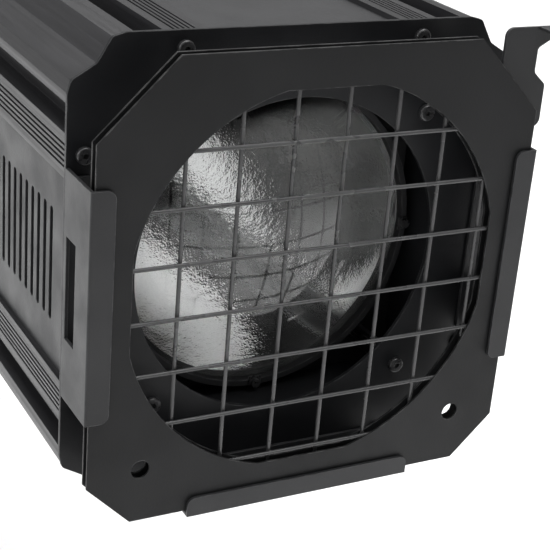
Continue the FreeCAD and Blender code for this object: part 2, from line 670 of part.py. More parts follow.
def colour_frame_back():
    """Rear sheet, with the folded spacer along its foot that joins the two sheets."""
    spacer_half = FRAME_HALF - FRAME_BOTTOM_CHAMFER - 4
    spacer = box(-spacer_half, spacer_half, WIRE_FRONT, FRAME_BACK, -FRAME_HALF, -FRAME_HALF + FRAME_SHEET_T)
    return frame_sheet(FRAME_BACK).fuse(spacer).removeSplitter()


def wire_reach(offset):
    """Half length of a wire at this distance from the middle."""
    chord = math.sqrt(FRAME_OPENING_R ** 2 - offset ** 2)
    return min(chord, FRAME_OPENING_FLAT) + WIRE_TUCK


def wire_offsets(shift):
    """Distances from the middle of the wires that cross the opening."""
    limit = FRAME_OPENING_R - WIRE_END_GAP
    most = int(limit / WIRE_PITCH) + 1
    offsets = [shift + WIRE_PITCH * step for step in range(-most, most + 1)]
    return [offset for offset in offsets if abs(offset) < limit]


def wire_guard():
    """Level wires in front and upright ones behind, touching where they cross."""
    level_y = WIRE_FRONT + WIRE_R
    upright_y = level_y + WIRE_LAYER
    wires = [rod_z(WIRE_R, x, upright_y, -wire_reach(x), wire_reach(x)) for x in wire_offsets(WIRE_SHIFT_X)]
    wires += [rod_x(WIRE_R, -wire_reach(z), wire_reach(z), level_y, z) for z in wire_offsets(WIRE_SHIFT_Z)]
    return group(wires)


def latch_stud():
    """Shouldered stud on the front plate that the latch turns on."""
    latch_back = FRONT_FACE - LATCH_BACK_GAP
    latch_front = latch_back - LATCH_T
    x = LATCH_PIVOT_X
    z = LATCH_PIVOT_Z
    post = rod_y(LATCH_PIN_R + 2, x, z, latch_back + LATCH_GAP, FRONT_FACE)
    pin = rod_y(LATCH_PIN_R, x, z, latch_front - LATCH_GAP, latch_back + LATCH_GAP)
    head = rod_y(LATCH_PIN_R + 2, x, z, latch_front - LATCH_GAP - 1.2, latch_front - LATCH_GAP)
    return post.fuse([pin, head])


def frame_latch():
    """Sheet latch with a thumb lug and a forward tab that swings over the frame's corner."""
    back = FRONT_FACE - LATCH_BACK_GAP
    front = back - LATCH_T
    x = LATCH_PIVOT_X
    z = LATCH_PIVOT_Z
    edge = FRAME_HALF
    outline = [(x - LATCH_HUB_R, z - LATCH_HUB_R, 6), (edge + 9.2, z - LATCH_HUB_R, 4),
               (edge + 9.0, z + 13.5, 2.5), (edge + 2.2, z + 19.5, 3), (edge + 2.2, z + 31, 2),
               (edge + 11, z + 36, 1.5), (edge + 11, z + 41, 1), (x - LATCH_HUB_R, z + 41, 4)]
    plate = prism_y(outline, front, back)
    tab = box(edge + 1.5, edge + 11, LIP_FRONT, front, z + 39.5, z + 41)
    plate = plate.fuse(tab).removeSplitter()
    return plate.cut(rod_y(LATCH_PIN_R + RUNNING, x, z, front - 1, back + 1))


# ---- lenses and carriages ---------------------------------------------------
def lens(radius, edge, curve_r, flat_y):
    """Plano-convex lens: flat face at flat_y, bulging towards -Y."""
    edge_y = flat_y - edge
    centre_y = edge_y + math.sqrt(curve_r ** 2 - radius ** 2)
    ball = Part.makeSphere(curve_r, V(0, centre_y, 0))
    return ball.common(rod_y(radius, 0, 0, edge_y - curve_r, flat_y))


def front_lens():
    return lens(FRONT_LENS_R, FRONT_LENS_EDGE, FRONT_LENS_CURVE_R, CELL_REAR - FRONT_CELL_LIP)


def front_lens_cell():
    inner = FRONT_LENS_R + CELL_PLAY
    ring = tube_y(FRONT_CELL_R, inner, 0, 0, CELL_FRONT, CELL_REAR)
    seat = tube_y(inner + 0.5, inner - 4, 0, 0, CELL_REAR - FRONT_CELL_LIP, CELL_REAR)
    return ring.fuse(seat).removeSplitter()


def lens_clips():
    """Four small clips over the lens's edge, each with its screw head."""
    tab = box(FRONT_LENS_R - 2, FRONT_CELL_R, CELL_FRONT - 0.8, CELL_FRONT, -3.2, 3.2)
    head = rod_y(2.3, FRONT_CELL_R - 1.5, 0, CELL_FRONT - 2.4, CELL_FRONT - 0.8)
    clip = tab.fuse(head)
    return group([quarter_turned(clip, turns) for turns in range(4)])


def carriage_outline(half):
    cut = CARRIAGE_CHAMFER
    return [(half, half - cut, 0), (half - cut, half, 0), (cut - half, half, 0), (-half, half - cut, 0),
            (-half, cut - half, 0), (cut - half, -half, 0), (half - cut, -half, 0), (half, cut - half, 0)]


def carriage(y0, bore_r):
    """Plate with a boss round each guide rod and a stem for its knob."""
    y1 = y0 + CARRIAGE_T
    plate = prism_y(carriage_outline(CARRIAGE_HALF), y0, y1)
    bosses = []
    rod_holes = []
    for x, z in four_corners(ROD_OFFSET, ROD_OFFSET):
        bosses.append(rod_y(CARRIAGE_BOSS_R, x, z, y0, y0 + CARRIAGE_BOSS_LENGTH))
        rod_holes.append(rod_y(ROD_R + RUNNING, x, z, y0 - 1, y0 + CARRIAGE_BOSS_LENGTH + 1))
    stem_y = (y0 + y1) / 2
    lug = box(CARRIAGE_HALF - 9, CARRIAGE_HALF, y0, y0 + 9, STEM_Z - 6, STEM_Z + 6)
    stem = rod_x(STEM_R, CARRIAGE_HALF - 4, SLIDE_KNOB_X + 10, stem_y + STEM_R, STEM_Z)
    solid = plate.fuse(bosses + [lug, stem])
    return solid.cut(rod_holes + [rod_y(bore_r, 0, 0, y0 - 1, y1 + 1)])


def slide_knob(stem_y):
    """Knurled clamp knob on a carriage's stem."""
    end = SLIDE_KNOB_X + SLIDE_KNOB_LENGTH
    knob = rod_x(SLIDE_KNOB_R, SLIDE_KNOB_X + 3, end, stem_y, STEM_Z)
    rims = [edge for edge in knob.Edges if edge.BoundBox.XLength < 0.01]
    knob = knob.makeChamfer(1.2, rims)
    flutes = []
    for step in range(16):
        angle = math.radians(360 / 16 * step)
        reach = SLIDE_KNOB_R + 0.6
        flutes.append(rod_x(1.5, SLIDE_KNOB_X + 2, end + 1, stem_y + reach * math.cos(angle),
                            STEM_Z + reach * math.sin(angle)))
    collar = rod_x(SLIDE_KNOB_R - 4, SLIDE_KNOB_X, SLIDE_KNOB_X + 3, stem_y, STEM_Z)
    knob = knob.cut(flutes).fuse(collar)
    return knob.cut(rod_x(STEM_R + RUNNING, SLIDE_KNOB_X - 1, SLIDE_KNOB_X + 10.5, stem_y, STEM_Z))


def stem_centre(carriage_y):
    return carriage_y + CARRIAGE_T / 2 + STEM_R


def focus_carriage():
    return carriage(CELL_REAR, FRONT_LENS_R - 4)


def focus_knob():
    return slide_knob(stem_centre(CELL_REAR))


def zoom_carriage():
    """Carriage and the rear lens's cell in one casting."""
    y0 = REAR_CARRIAGE_Y
    inner = REAR_LENS_R + CELL_PLAY
    ring = tube_y(REAR_CELL_R, inner, 0, 0, y0 - REAR_CELL_LENGTH, y0)
    return carriage(y0, REAR_LENS_R - 4).fuse(ring).removeSplitter()


def zoom_knob():
    return slide_knob(stem_centre(REAR_CARRIAGE_Y))


def rear_lens():
    return lens(REAR_LENS_R, REAR_LENS_EDGE, REAR_LENS_CURVE_R, REAR_CARRIAGE_Y)


def guide_rods():
    rods = []
    for x, z in four_corners(ROD_OFFSET, ROD_OFFSET):
        rod = rod_y(ROD_R, x, z, RAIL_FRONT, GATE_Y)
        depth = SCREW_LENGTH
        ends = [rod_y(SCREW_R + RUNNING, x, z, RAIL_FRONT - 1, RAIL_FRONT + depth),
                rod_y(SCREW_R + RUNNING, x, z, GATE_Y - depth, GATE_Y + 1)]
        rods.append(rod.cut(ends))
    return group(rods)


# ---- gate, iris, blackout ---------------------------------------------------
def bulkhead(y0, y1, top_gap):
    """Cross-shaped wall whose four arms meet the panels."""
    core = prism_y(carriage_outline(CARRIAGE_HALF), y0, y1)
    arm = RAIL_FLANGE_EDGE - 2
    across = box(-PANEL_INNER, PANEL_INNER, y0, y1, -arm, arm)
    upright = box(-arm, arm, y0, y1, -PANEL_INNER, PANEL_INNER - top_gap)
    return core.fuse([across, upright]).removeSplitter()


def gate_plate():
    """Bulkhead with the gate, and two rails that guide the blackout blade."""
    wall = bulkhead(GATE_Y, GATE_REAR, 0)
    rails = []
    rail_top = PANEL_INNER - 14.5
    for side in (-1, 1):
        near = side * (BLADE_HALF + 0.5)
        far = side * (BLADE_HALF + 4)
        low, high = sorted((near, far))
        rails.append(box(low, high, GATE_REAR, BLADE_Y + BLADE_T, -BLADE_HALF - 4, rail_top))
        lip_low, lip_high = sorted((side * (BLADE_HALF - 3), far))
        rails.append(box(lip_low, lip_high, BLADE_Y + BLADE_T + 0.4, BLADE_Y + BLADE_T + 1.6,
                         -BLADE_HALF - 4, rail_top))
        rails.append(box(low, high, BLADE_Y + BLADE_T - 0.1, BLADE_Y + BLADE_T + 1.6,
                         -BLADE_HALF - 4, rail_top))
    wall = wall.fuse(rails)
    holes = [rod_y(GATE_R, 0, 0, GATE_Y - 1, GATE_REAR + 1)]
    for x, z in four_corners(ROD_OFFSET, ROD_OFFSET):
        holes.append(rod_y(SCREW_R + RUNNING, x, z, GATE_Y - 1, GATE_REAR + 1))
    return wall.cut(holes).removeSplitter()


def iris_body():
    """Shallow cup on the gate plate, with a pin for each leaf."""
    front = GATE_Y - IRIS_DEPTH
    wall = tube_y(IRIS_RIM_R, IRIS_RIM_R - IRIS_RIM_WALL, 0, 0, front, GATE_Y)
    floor = tube_y(IRIS_RIM_R, GATE_R, 0, 0, GATE_Y - 1.5, GATE_Y)
    pins = []
    for leaf in range(IRIS_LEAVES):
        angle = math.radians(360 / IRIS_LEAVES * leaf)
        x = iris_pin_circle() * math.cos(angle)
        z = iris_pin_circle() * math.sin(angle)
        pins.append(rod_y(1.0, x, z, front + 2.4, GATE_Y - 1))
    return wall.fuse([floor] + pins).removeSplitter()


def iris_pin_circle():
    return IRIS_RIM_R - IRIS_RIM_WALL - 2.4


def iris_leaves():
    """Crescent leaves wide open, each in its own plane so that they pass each other."""
    leaves = []
    outer = iris_pin_circle() - 2
    for leaf in range(IRIS_LEAVES):
        y0 = GATE_Y - 2.4 - IRIS_LEAF_T - IRIS_LEAF_STEP * leaf
        y1 = y0 + IRIS_LEAF_T
        crescent = tube_y(outer, GATE_R + 1, 0, 0, y0, y1)
        wedge = prism_y([(0, 0, 0), (70, 0, 0), (70, 70, 0), (-70, 70, 0), (-40, 0, 0)], y0 - 1, y1 + 1)
        blade = crescent.common(wedge).fuse(rod_y(2.0, iris_pin_circle(), 0, y0, y1))
        blade = blade.fuse(box(outer - 2, iris_pin_circle(), y0, y1, -1.9, 1.9))
        blade = blade.cut(rod_y(1.0 + RUNNING, iris_pin_circle(), 0, y0 - 1, y1 + 1))
        blade.rotate(V(0, 0, 0), V(0, -1, 0), 360 / IRIS_LEAVES * leaf)
        leaves.append(blade)
    return group(leaves)


def iris_ring():
    """Turning ring with its lever, drawn wide open."""
    front = GATE_Y - IRIS_DEPTH
    ring_r = IRIS_RIM_R - IRIS_RIM_WALL - RUNNING
    plate = tube_y(IRIS_RIM_R, GATE_R + 2, 0, 0, front - 1.7, front - 0.2)
    collar = tube_y(ring_r, ring_r - 2, 0, 0, front - 0.3, front + 1.6)
    half = IRIS_LEVER_WIDTH / 2
    lever = box(-half, half, front - 1.7, front - 0.2, GATE_R + 8, IRIS_LEVER_R)
    grip = rod_z(half + 1, 0, front - 0.95, HOUSING_HALF + 6, IRIS_LEVER_R + 2)
    grip = grip.makeFillet(2.0, [edge for edge in grip.Edges if edge.BoundBox.ZLength < 0.01])
    ring = plate.fuse([collar, lever, grip]).removeSplitter()
    ring.rotate(V(0, 0, 0), V(0, -1, 0), IRIS_LEVER_TURN)
    return ring


def blackout_blade():
    """Drop-in blackout blade held up clear of the gate, with its stem and knob."""
    low = GATE_R + 2.5
    top = low + 2 * BLADE_HALF
    blade = prism_y(rectangle(-BLADE_HALF, BLADE_HALF, low, top, 3), BLADE_Y, BLADE_Y + BLADE_T)
    middle = BLADE_Y + BLADE_T / 2
    knob_base = HOUSING_HALF + BLADE_TRAVEL + 1
    stem = rod_z(BLADE_STEM_R, 0, middle, top - 8, knob_base + 4)
    knob = rod_z(BLADE_KNOB_R, 0, middle, knob_base, knob_base + 14)
    knob = knob.makeFillet(3.0, [edge for edge in knob.Edges if edge.BoundBox.ZLength < 0.01])
    return blade.fuse([stem, knob]).removeSplitter()


# ---- lamp -------------------------------------------------------------------
def reflector_plate():
    plate = bulkhead(REFLECTOR_PLATE_Y, REFLECTOR_PLATE_Y + GATE_T, 0.3)
    return plate.cut(rod_y(REFLECTOR_R - 1, 0, 0, REFLECTOR_PLATE_Y - 1, REFLECTOR_PLATE_Y + GATE_T + 1))


def reflector_profile(radius, depth, y0):
    """Quarter ellipse from the rim to the neck, as (radius, y) points."""
    points = []
    for step in range(19):
        angle = math.radians(90 * step / 18)
        r = radius * math.cos(angle)
        if r > REFLECTOR_NECK_R:
            points.append((r, y0 + depth * math.sin(angle)))
    end = math.acos(REFLECTOR_NECK_R / radius)
    points.append((REFLECTOR_NECK_R, y0 + depth * math.sin(end)))
    return points


def reflector():
    rim_y = REFLECTOR_PLATE_Y + GATE_T
    inside = reflector_profile(REFLECTOR_R, REFLECTOR_DEPTH, rim_y)
    outside = reflector_profile(REFLECTOR_R + REFLECTOR_T, REFLECTOR_DEPTH + REFLECTOR_T, rim_y)
    shell = revolved(inside + list(reversed(outside)))
    rim = tube_y(REFLECTOR_R + REFLECTOR_RIM, REFLECTOR_R, 0, 0, rim_y, rim_y + REFLECTOR_T)
    return shell.fuse(rim)


def lamp_start():
    """Front of the lamp's base, inside the reflector's neck."""
    return REFLECTOR_PLATE_Y + GATE_T + REFLECTOR_DEPTH - 12


def lamp_glass():
    y1 = lamp_start()
    y0 = y1 - LAMP_LENGTH + LAMP_R
    return rod_y(LAMP_R, 0, 0, y0, y1).fuse(Part.makeSphere(LAMP_R, V(0, y0, 0))).removeSplitter()


def lamp_base():
    return rod_y(LAMP_BASE_R, 0, 0, lamp_start(), lamp_start() + LAMP_BASE_LENGTH)


def socket_start():
    return lamp_start() + LAMP_BASE_LENGTH


def lamp_socket():
    y0 = socket_start()
    return prism_y(rectangle(-SOCKET_HALF, SOCKET_HALF, -SOCKET_HALF, SOCKET_HALF, 5), y0, y0 + SOCKET_DEPTH)


def lamp_bracket():
    """Angle bracket from the bottom panel up to the lamp socket."""
    y0 = socket_start() + SOCKET_DEPTH
    foot = -PANEL_INNER
    wall = prism_y(rectangle(-BRACKET_HALF, BRACKET_HALF, foot, SOCKET_HALF, 0), y0, y0 + BRACKET_T)
    base = box(-BRACKET_HALF, BRACKET_HALF, y0, y0 + 34, foot, foot + BRACKET_T)
    return wall.fuse(base).removeSplitter()


def door_knuckles():
    """Y ranges of the hinge's knuckles as (y0, y1, belongs to door)."""
    spans = []
    y = DOOR_START + 12
    index = 0
    while y + KNUCKLE_LENGTH < RAIL_REAR - 12:
        spans.append((y, y + KNUCKLE_LENGTH - KNUCKLE_GAP, index % 2 == 1))
        y += KNUCKLE_LENGTH
        index += 1
    return spans


def lamp_door():
    """Vented lid over the lamp with its hinge knuckles."""
    top = DOOR_TOP
    door = box(-DOOR_HALF, DOOR_HALF, DOOR_START, RAIL_REAR - DOOR_SIDE_GAP, top - DOOR_T, top)
    cuts = []
    for step in range(9):
        y = DOOR_START + 52 + 12 * step
        slot = [(-24, y - 2, 1.9), (22, y - 2, 1.9), (22, y + 2, 1.9), (-24, y + 2, 1.9)]
        cuts.append(prism_z(slot, top - 3, top + 3))
    cuts.append(rod_z(CATCH_SHANK_R + RUNNING, catch_x(), catch_y(), top - 3, top + 3))
    door = door.cut(cuts)
    pieces = []
    for y0, y1, on_door in door_knuckles():
        if on_door:
            pieces.append(rod_y(HINGE_R, HINGE_X, HINGE_Z, y0, y1))
            pieces.append(box(HINGE_X, HINGE_X + HINGE_R, y0, y1, top - DOOR_T / 2, HINGE_Z))
    door = door.fuse(pieces)
    return door.cut(rod_y(HINGE_PIN_R + RUNNING, HINGE_X, HINGE_Z, DOOR_START, RAIL_REAR)).removeSplitter()


def door_hinge():
    """Fixed leaf on the top left rail, its knuckles and the pin."""
    spans = door_knuckles()
    start = spans[0][0]
    end = spans[-1][1]
    leaf_left = -RAIL_GROOVE_START + 2
    leaf = box(leaf_left, HINGE_X - HINGE_R - 0.6, start, end, HOUSING_HALF, HOUSING_HALF + 1.5)
    pieces = [rod_y(HINGE_PIN_R, HINGE_X, HINGE_Z, start, end)]
    for y0, y1, on_door in spans:
        if not on_door:
            pieces.append(rod_y(HINGE_R, HINGE_X, HINGE_Z, y0, y1))
            pieces.append(box(HINGE_X - HINGE_R - 1, HINGE_X, y0, y1, HOUSING_HALF, HOUSING_HALF + 1.5))
    return leaf.fuse(pieces).removeSplitter()


def catch_x():
    return DOOR_HALF - 11


def catch_y():
    return (DOOR_START + RAIL_REAR) / 2


def door_catch():
    """Quarter-turn catch, drawn open: its tongue lies along Y under the door."""
    x = catch_x()
    y = catch_y()
    head = rod_z(CATCH_HEAD_R, x, y, DOOR_TOP, DOOR_TOP + 4)
    head = head.makeFillet(1.0, [edge for edge in head.Edges if edge.BoundBox.ZMin > DOOR_TOP + 3.9])
    slot = box(x - CATCH_HEAD_R, x + CATCH_HEAD_R, y - 0.8, y + 0.8, DOOR_TOP + 2.6, DOOR_TOP + 5)
    tongue_top = PANEL_INNER - 0.6
    shank = rod_z(CATCH_SHANK_R, x, y, tongue_top - 2, DOOR_TOP)
    tongue = box(x - 4, x + 4, y - 4, y + CATCH_REACH, tongue_top - 2, tongue_top)
    return head.cut(slot).fuse([shank, tongue]).removeSplitter()


# ---- rear plate -------------------------------------------------------------
def fan_frame():
    y1 = RAIL_REAR
    y0 = y1 - FAN_DEPTH
    frame = prism_y([(x, z + FAN_Z, 4) for x, z in four_corners(FAN_HALF, FAN_HALF)], y0, y1)
    frame = frame.cut(rod_y(FAN_DUCT_R, 0, FAN_Z, y0 - 1, y1 + 1))
    motor = rod_y(FAN_HUB_R, 0, FAN_Z, y1 - 4, y1)
    struts = []
    for turn in range(3):
        strut = box(FAN_HUB_R - 2, FAN_DUCT_R + 1, y1 - 3, y1, -2, 2)
        strut.rotate(V(0, 0, 0), V(0, 1, 0), 120 * turn + 30)
        strut.translate(V(0, 0, FAN_Z))
        struts.append(strut)
    frame = frame.fuse([motor] + struts)
    return frame.cut(rod_y(2 + RUNNING, 0, FAN_Z, y1 - 5, y1 - 0.8)).removeSplitter()


def fan_rotor():
    y1 = RAIL_REAR - 4.6
    y0 = RAIL_REAR - FAN_DEPTH + 2
    hub = rod_y(FAN_HUB_R, 0, 0, y0, y1)
    blades = []
    for turn in range(FAN_BLADES):
        blade = box(FAN_HUB_R - 3, FAN_DUCT_R - FAN_BLADE_GAP, y0 + 1, y1 - 1, -1, 1)
        blade.rotate(V(0, (y0 + y1) / 2, 0), V(1, 0, 0), 38)
        limit = rod_y(FAN_DUCT_R - FAN_BLADE_GAP, 0, 0, y0, y1)
        blade = blade.common(limit)
        blade.rotate(V(0, 0, 0), V(0, 1, 0), 360 / FAN_BLADES * turn)
        blades.append(blade)
    shaft = rod_y(2, 0, 0, y1 - 1, RAIL_REAR - 1)
    rotor = hub.fuse(blades + [shaft]).removeSplitter()
    rotor.translate(V(0, 0, FAN_Z))
    return rotor


def fan_guard():
    """Wire finger guard: three rings on a cross of wires with four feet."""
    y = REAR_FACE + 2.2 * GUARD_WIRE_R
    wires = []
    for ring_r in (36, 26, 16):
        wires.append(Part.makeTorus(ring_r, GUARD_WIRE_R, V(0, y, FAN_Z), V(0, 1, 0)))
    for turn in (45, 135):
        spoke = rod_x(GUARD_WIRE_R, -44, 44, y - 1.2 * GUARD_WIRE_R, 0)
        spoke.rotate(V(0, 0, 0), V(0, 1, 0), turn)
        spoke.translate(V(0, 0, FAN_Z))
        wires.append(spoke)
    return wires[0].fuse(wires[1:])


def power_inlet():
    """Three-pin inlet with a flange outside the plate and its body inside."""
    x, z = INLET_X, PANEL_PARTS_Z
    wide, high = INLET_HALF_WIDTH, INLET_HALF_HEIGHT
    flange = prism_y(rectangle(x - wide, x + wide, z - high, z + high, 4), REAR_FACE, REAR_FACE + 2.5)
    body_x = INLET_CAVITY_X + 1.8
    body_z = INLET_CAVITY_Z + 1.8
    back = REAR_FACE - INLET_CAVITY_DEPTH - 4
    body = box(x - body_x, x + body_x, back, REAR_FACE, z - body_z, z + body_z)
    inlet = flange.fuse(body)
    cut = INLET_CAVITY_Z * 0.5
    cx, cz = INLET_CAVITY_X, INLET_CAVITY_Z
    cavity = [(x - cx, z - cz, 0.8), (x + cx, z - cz, 0.8), (x + cx, z + cz - cut, 0.8),
              (x + cx - cut, z + cz, 0.8), (x - cx + cut, z + cz, 0.8), (x - cx, z + cz - cut, 0.8)]
    bottom = REAR_FACE + 2.5 - INLET_CAVITY_DEPTH
    inlet = inlet.cut(prism_y(cavity, bottom, REAR_FACE + 4))
    pins = []
    for pin_x, pin_z in ((-7, -2.4), (0, 3.4), (7, -2.4)):
        pins.append(box(x + pin_x - 1, x + pin_x + 1, bottom - 1, REAR_FACE - 1, z + pin_z - 2, z + pin_z + 2))
    holes = [rod_y(1.7, x + side * 20, z, REAR_FACE - 1, REAR_FACE + 4) for side in (-1, 1)]
    return inlet.fuse(pins).cut(holes).removeSplitter()


def switch_frame():
    """Bezel and body of the rocker switch."""
    x, z = SWITCH_X, PANEL_PARTS_Z
    half_x, half_z = SWITCH_HALF_X, SWITCH_HALF_Z
    rim = SWITCH_BEZEL
    face = REAR_FACE
    bezel = prism_y(rectangle(x - half_x - rim, x + half_x + rim, z - half_z - rim, z + half_z + rim, 2),
                    face, face + 2)
    body = box(x - half_x - 0.8, x + half_x + 0.8, face - 20, face, z - half_z - 0.8, z + half_z + 0.8)
    well = box(x - half_x, x + half_x, face - 9, face + 3, z - half_z, z + half_z)
    return bezel.fuse(body).cut(well).removeSplitter()


def switch_rocker():
    """Rocker with a raised half, drawn in the off position."""
    x, z = SWITCH_X, PANEL_PARTS_Z
    half_x = SWITCH_HALF_X - 0.5
    pivot = REAR_FACE - 2
    half_z = SWITCH_HALF_Z - 0.9
    side = [(pivot - 3, z - half_z + 2, 0), (pivot + 3.2, z - half_z, 0.5), (pivot + 2.6, z, 6),
            (pivot + 3.2, z + half_z, 0.5), (pivot - 3, z + half_z - 2, 0)]
    rocker = prism_x(side, x - half_x, x + half_x)
    rocker.rotate(V(x, pivot, z), V(1, 0, 0), ROCKER_TILT)
    return rocker


def handle_x():
    return HOUSING_HALF + PIVOT_PLATE_T + HANDLE_R - 1


def rear_handle():
    """Bent tube round the back, welded to a foot on each side."""
    x = handle_x()
    y_end = REAR_FACE + HANDLE_REACH
    y_start = HANDLE_FOOT_Y
    bend = HANDLE_BEND_R
    corner = bend * (1 - math.sqrt(0.5))
    path = Part.Wire([
        Part.makeLine(V(x, y_start, HANDLE_Z), V(x, y_end - bend, HANDLE_Z)),
        Part.Arc(V(x, y_end - bend, HANDLE_Z), V(x - corner, y_end - corner, HANDLE_Z),
                 V(x - bend, y_end, HANDLE_Z)).toShape(),
        Part.makeLine(V(x - bend, y_end, HANDLE_Z), V(bend - x, y_end, HANDLE_Z)),
        Part.Arc(V(bend - x, y_end, HANDLE_Z), V(corner - x, y_end - corner, HANDLE_Z),
                 V(-x, y_end - bend, HANDLE_Z)).toShape(),
        Part.makeLine(V(-x, y_end - bend, HANDLE_Z), V(-x, y_start, HANDLE_Z))])
    section = Part.Wire(Part.makeCircle(HANDLE_R, V(x, y_start, HANDLE_Z), V(0, 1, 0)))
    tube = path.makePipeShell([section], True, False)
    foot_far = HANDLE_FOOT_Y + HANDLE_FOOT_LENGTH
    feet = []
    for side in (-1, 1):
        low, high = sorted((side * HOUSING_HALF, side * (HOUSING_HALF + PIVOT_PLATE_T)))
        feet.append(box(low, high, HANDLE_FOOT_Y, foot_far, -PIVOT_PLATE_HALF_Z, PIVOT_PLATE_HALF_Z))
    return tube.fuse(feet)


def handle_grip():
    y = REAR_FACE + HANDLE_REACH
    outer = rod_x(HANDLE_R + GRIP_T, -GRIP_HALF, GRIP_HALF, y, HANDLE_Z)
    outer = outer.makeFillet(1.5, [edge for edge in outer.Edges if edge.BoundBox.XLength < 0.01])
    return outer.cut(rod_x(HANDLE_R, -GRIP_HALF - 1, GRIP_HALF + 1, y, HANDLE_Z))


def safety_bracket():
    """Angle on the rear plate with a hole for a safety cable."""
    x0 = SAFETY_FROM_CORNER - HOUSING_HALF
    low = SAFETY_Z - SAFETY_HALF_HEIGHT
    high = SAFETY_Z + SAFETY_HALF_HEIGHT
    far = REAR_FACE + SAFETY_REACH
    tab = prism_x([(REAR_FACE, low, 0), (far, low, 8), (far, high, 8), (REAR_FACE, high, 0)], x0, x0 + SAFETY_T)
    foot = box(x0, x0 + 26, REAR_FACE, REAR_FACE + SAFETY_T, low, high)
    hole = rod_x(SAFETY_HOLE_R, x0 - 1, x0 + SAFETY_T + 1, far - 13, SAFETY_Z)
    return tab.fuse(foot).cut(hole).removeSplitter()


# ---- tilt pivots ------------------------------------------------------------
def pivot_plate():
    """Right-hand plate across two rails with the boss that takes the knob's stud."""
    x0 = HOUSING_HALF
    x1 = x0 + PIVOT_PLATE_T
    half_y, half_z = PIVOT_PLATE_HALF_Y, PIVOT_PLATE_HALF_Z
    outline = [(-half_y, -half_z, 4), (half_y, -half_z, 4), (half_y, half_z, 4), (-half_y, half_z, 4)]
    plate = prism_x(outline, x0, x1)
    boss = rod_x(PIVOT_BOSS_R, x1, x1 + PIVOT_BOSS_T, 0, 0)
    return plate.fuse(boss).cut(rod_x(STUD_R + RUNNING, x0 - 1, x1 + PIVOT_BOSS_T + 1, 0, 0))


def pivot_plates():
    return group([pivot_plate(), mirror_x(pivot_plate())])


def friction_washers():
    ring = rod_x(FRICTION_R, ARM_INNER - FRICTION_T, ARM_INNER, 0, 0)
    ring = ring.cut(rod_x(STUD_R + 0.5, ARM_INNER - FRICTION_T - 1, ARM_INNER + 1, 0, 0))
    return group([ring, mirror_x(ring)])


def tilt_knob():
    """Right-hand lobed clamp knob with its stud."""
    face = YOKE_OUTER + 0.4
    hub = rod_x(12, face, face + 6, 0, 0)
    head_start = face + 6
    head = rod_x(TILT_KNOB_R, head_start, head_start + 16, 0, 0)
    hollows = []
    for turn in range(TILT_KNOB_LOBES):
        angle = math.radians(360 / TILT_KNOB_LOBES * turn + 90)
        reach = TILT_KNOB_R + 7
        hollows.append(rod_x(12, head_start - 1, head_start + 17, reach * math.cos(angle),
                             reach * math.sin(angle)))
    head = head.cut(hollows)
    rims = [edge for edge in head.Edges if edge.BoundBox.XLength < 0.01]
    head = head.makeFillet(2.0, rims)
    stud = rod_x(STUD_R, face - STUD_LENGTH + 6, head_start + 1, 0, 0)
    return hub.fuse([head, stud]).removeSplitter()


def tilt_knob_right():
    return tilt_knob()


def tilt_knob_left():
    return mirror_x(tilt_knob())


# ---- yoke and spigot, in the row's own height -------------------------------
def yoke():
    """Bent flat bar: two arms round the housing and a base over the spigot."""
    outer = YOKE_OUTER
    inner = ARM_INNER
    tip = AXIS_HEIGHT + YOKE_WIDTH / 2
    low = YOKE_BOTTOM
    outer_shape = [(-outer, tip, 0), (-outer, low, YOKE_BEND_R), (outer, low, YOKE_BEND_R), (outer, tip, 0)]
    inner_r = YOKE_BEND_R - YOKE_T
    inner_shape = [(-inner, tip + 1, 0), (-inner, YOKE_BASE_TOP, inner_r), (inner, YOKE_BASE_TOP, inner_r),
                   (inner, tip + 1, 0)]
    half = YOKE_WIDTH / 2
    bar = prism_y(outer_shape, -half, half).cut(prism_y(inner_shape, -half - 1, half + 1))
    rounding = prism_x([(-half, low - 1, 0), (half, low - 1, 0), (half, tip, half - 0.01),
                        (-half, tip, half - 0.01)], -outer - 1, outer + 1)
    bar = bar.common(rounding)
    holes = [rod_x(STUD_R + RUNNING, -outer - 1, outer + 1, 0, AXIS_HEIGHT),
             rod_z(SPIGOT_NECK_R + RUNNING, 0, 0, low - 1, YOKE_BASE_TOP + 1)]
    return bar.cut(holes)


def stand_spigot():
    """Turned spigot: tip, safety groove, seat, flange and the neck the yoke pans on."""
    seat_low = -SEAT_TOP
    groove_low = seat_low - SPIGOT_GROOVE
    tip_low = groove_low - SPIGOT_TIP
    tip = rod_z(SPIGOT_R, 0, 0, tip_low, groove_low)
    tip = tip.makeChamfer(2.5, [edge for edge in tip.Edges if edge.BoundBox.ZMax < tip_low + 0.01])
    groove = rod_z(SPIGOT_GROOVE_R, 0, 0, groove_low, seat_low)
    seat = rod_z(SPIGOT_R, 0, 0, seat_low, SEAT_TOP)
    flange = rod_z(SPIGOT_FLANGE_R, 0, 0, SEAT_TOP, FLANGE_TOP)
    neck = rod_z(SPIGOT_NECK_R, 0, 0, FLANGE_TOP, YOKE_BASE_TOP + RUNNING)
    solid = tip.fuse([groove, seat, flange, neck])
    return solid.cut(rod_z(PAN_BOLT_R, 0, 0, FLANGE_TOP - 20, YOKE_BASE_TOP + 1)).removeSplitter()


def pan_washers():
    """Slip washer under the yoke and a steel washer over it."""
    low = rod_z(SPIGOT_FLANGE_R, 0, 0, FLANGE_TOP, YOKE_BOTTOM)
    low = low.cut(rod_z(SPIGOT_NECK_R + RUNNING, 0, 0, FLANGE_TOP - 1, YOKE_BOTTOM + 1))
    start = YOKE_BASE_TOP + RUNNING
    top = rod_z(SPIGOT_NECK_R + 10, 0, 0, start, start + 2.5)
    top = top.cut(rod_z(PAN_BOLT_R + RUNNING, 0, 0, start - 1, start + 4))
    return group([low, top])


